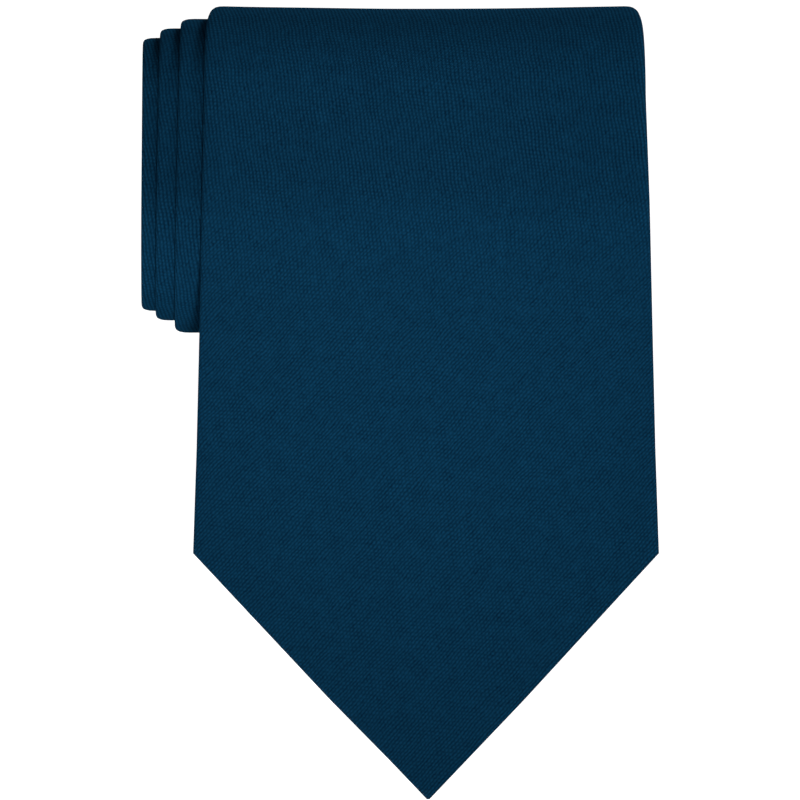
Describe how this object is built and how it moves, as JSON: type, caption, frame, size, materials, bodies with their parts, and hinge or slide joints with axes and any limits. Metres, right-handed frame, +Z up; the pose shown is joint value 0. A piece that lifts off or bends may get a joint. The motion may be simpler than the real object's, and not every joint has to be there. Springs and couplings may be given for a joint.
{
  "type": "necktie",
  "caption": "Plain navy necktie rolled up from its narrow end, with the pointed wide blade leaving the top of the roll and sloping down to the surface it lies on.",
  "frame": {"origin": "bottom centre of the whole object's box, on the surface the tie lies on", "axes": "+Z up, -Y towards the blade's point, +Y towards the back of the roll, X along the roll's axis with the stepped ends of the inner turns at -X"},
  "size_m": [0.0946, 0.1458, 0.0415],
  "materials": {
    "tie_silk": "matte woven twill, folded on the bias",
    "lining_satin": "smooth satin lining",
    "wool_interlining": "brushed napped wool",
    "sewing_thread": "matte twisted thread"
  },
  "bodies": {
    "outer_turn": {"outer_turn_shell": "tie_silk", "outer_turn_interlining": "wool_interlining", "outer_turn_slip_stitch": "sewing_thread", "keeper_loop": "tie_silk", "keeper_loop_stitching_left": "sewing_thread", "keeper_loop_stitching_right": "sewing_thread"},
    "blade_flap": {"blade_flap_shell": "tie_silk", "blade_flap_interlining": "wool_interlining", "blade_tipping": "lining_satin", "blade_flap_slip_stitch": "sewing_thread", "blade_bar_tack": "sewing_thread"},
    "second_turn": {"second_turn_shell": "tie_silk", "second_turn_interlining": "wool_interlining", "second_turn_slip_stitch": "sewing_thread"},
    "third_turn": {"third_turn_shell": "tie_silk", "third_turn_interlining": "wool_interlining", "third_turn_slip_stitch": "sewing_thread"},
    "core": {"core_blade_shell": "tie_silk", "blade_to_neck_seam": "sewing_thread", "neck_shell": "tie_silk", "neck_to_tail_seam": "sewing_thread", "tail_shell": "tie_silk", "core_interlining": "wool_interlining", "tail_point_interlining": "wool_interlining", "tail_tipping": "lining_satin", "core_slip_stitch": "sewing_thread", "tail_bar_tack": "sewing_thread"}
  },
  "joints": [
    {"name": "blade_lift", "type": "hinge", "parent": "outer_turn", "child": "blade_flap", "pos_m": [0, 0.02397, 0.03995], "axis": [-1, 0, 0], "range_deg": [0, 100]},
    {"name": "second_turn_slide", "type": "slide", "parent": "outer_turn", "child": "second_turn", "axis": [1, 0, 0], "range_m": [-0.004, 0.008]},
    {"name": "third_turn_slide", "type": "slide", "parent": "second_turn", "child": "third_turn", "axis": [1, 0, 0], "range_m": [-0.004, 0.008]},
    {"name": "core_slide", "type": "slide", "parent": "third_turn", "child": "core", "axis": [1, 0, 0], "range_m": [-0.004, 0.008]}
  ]
}
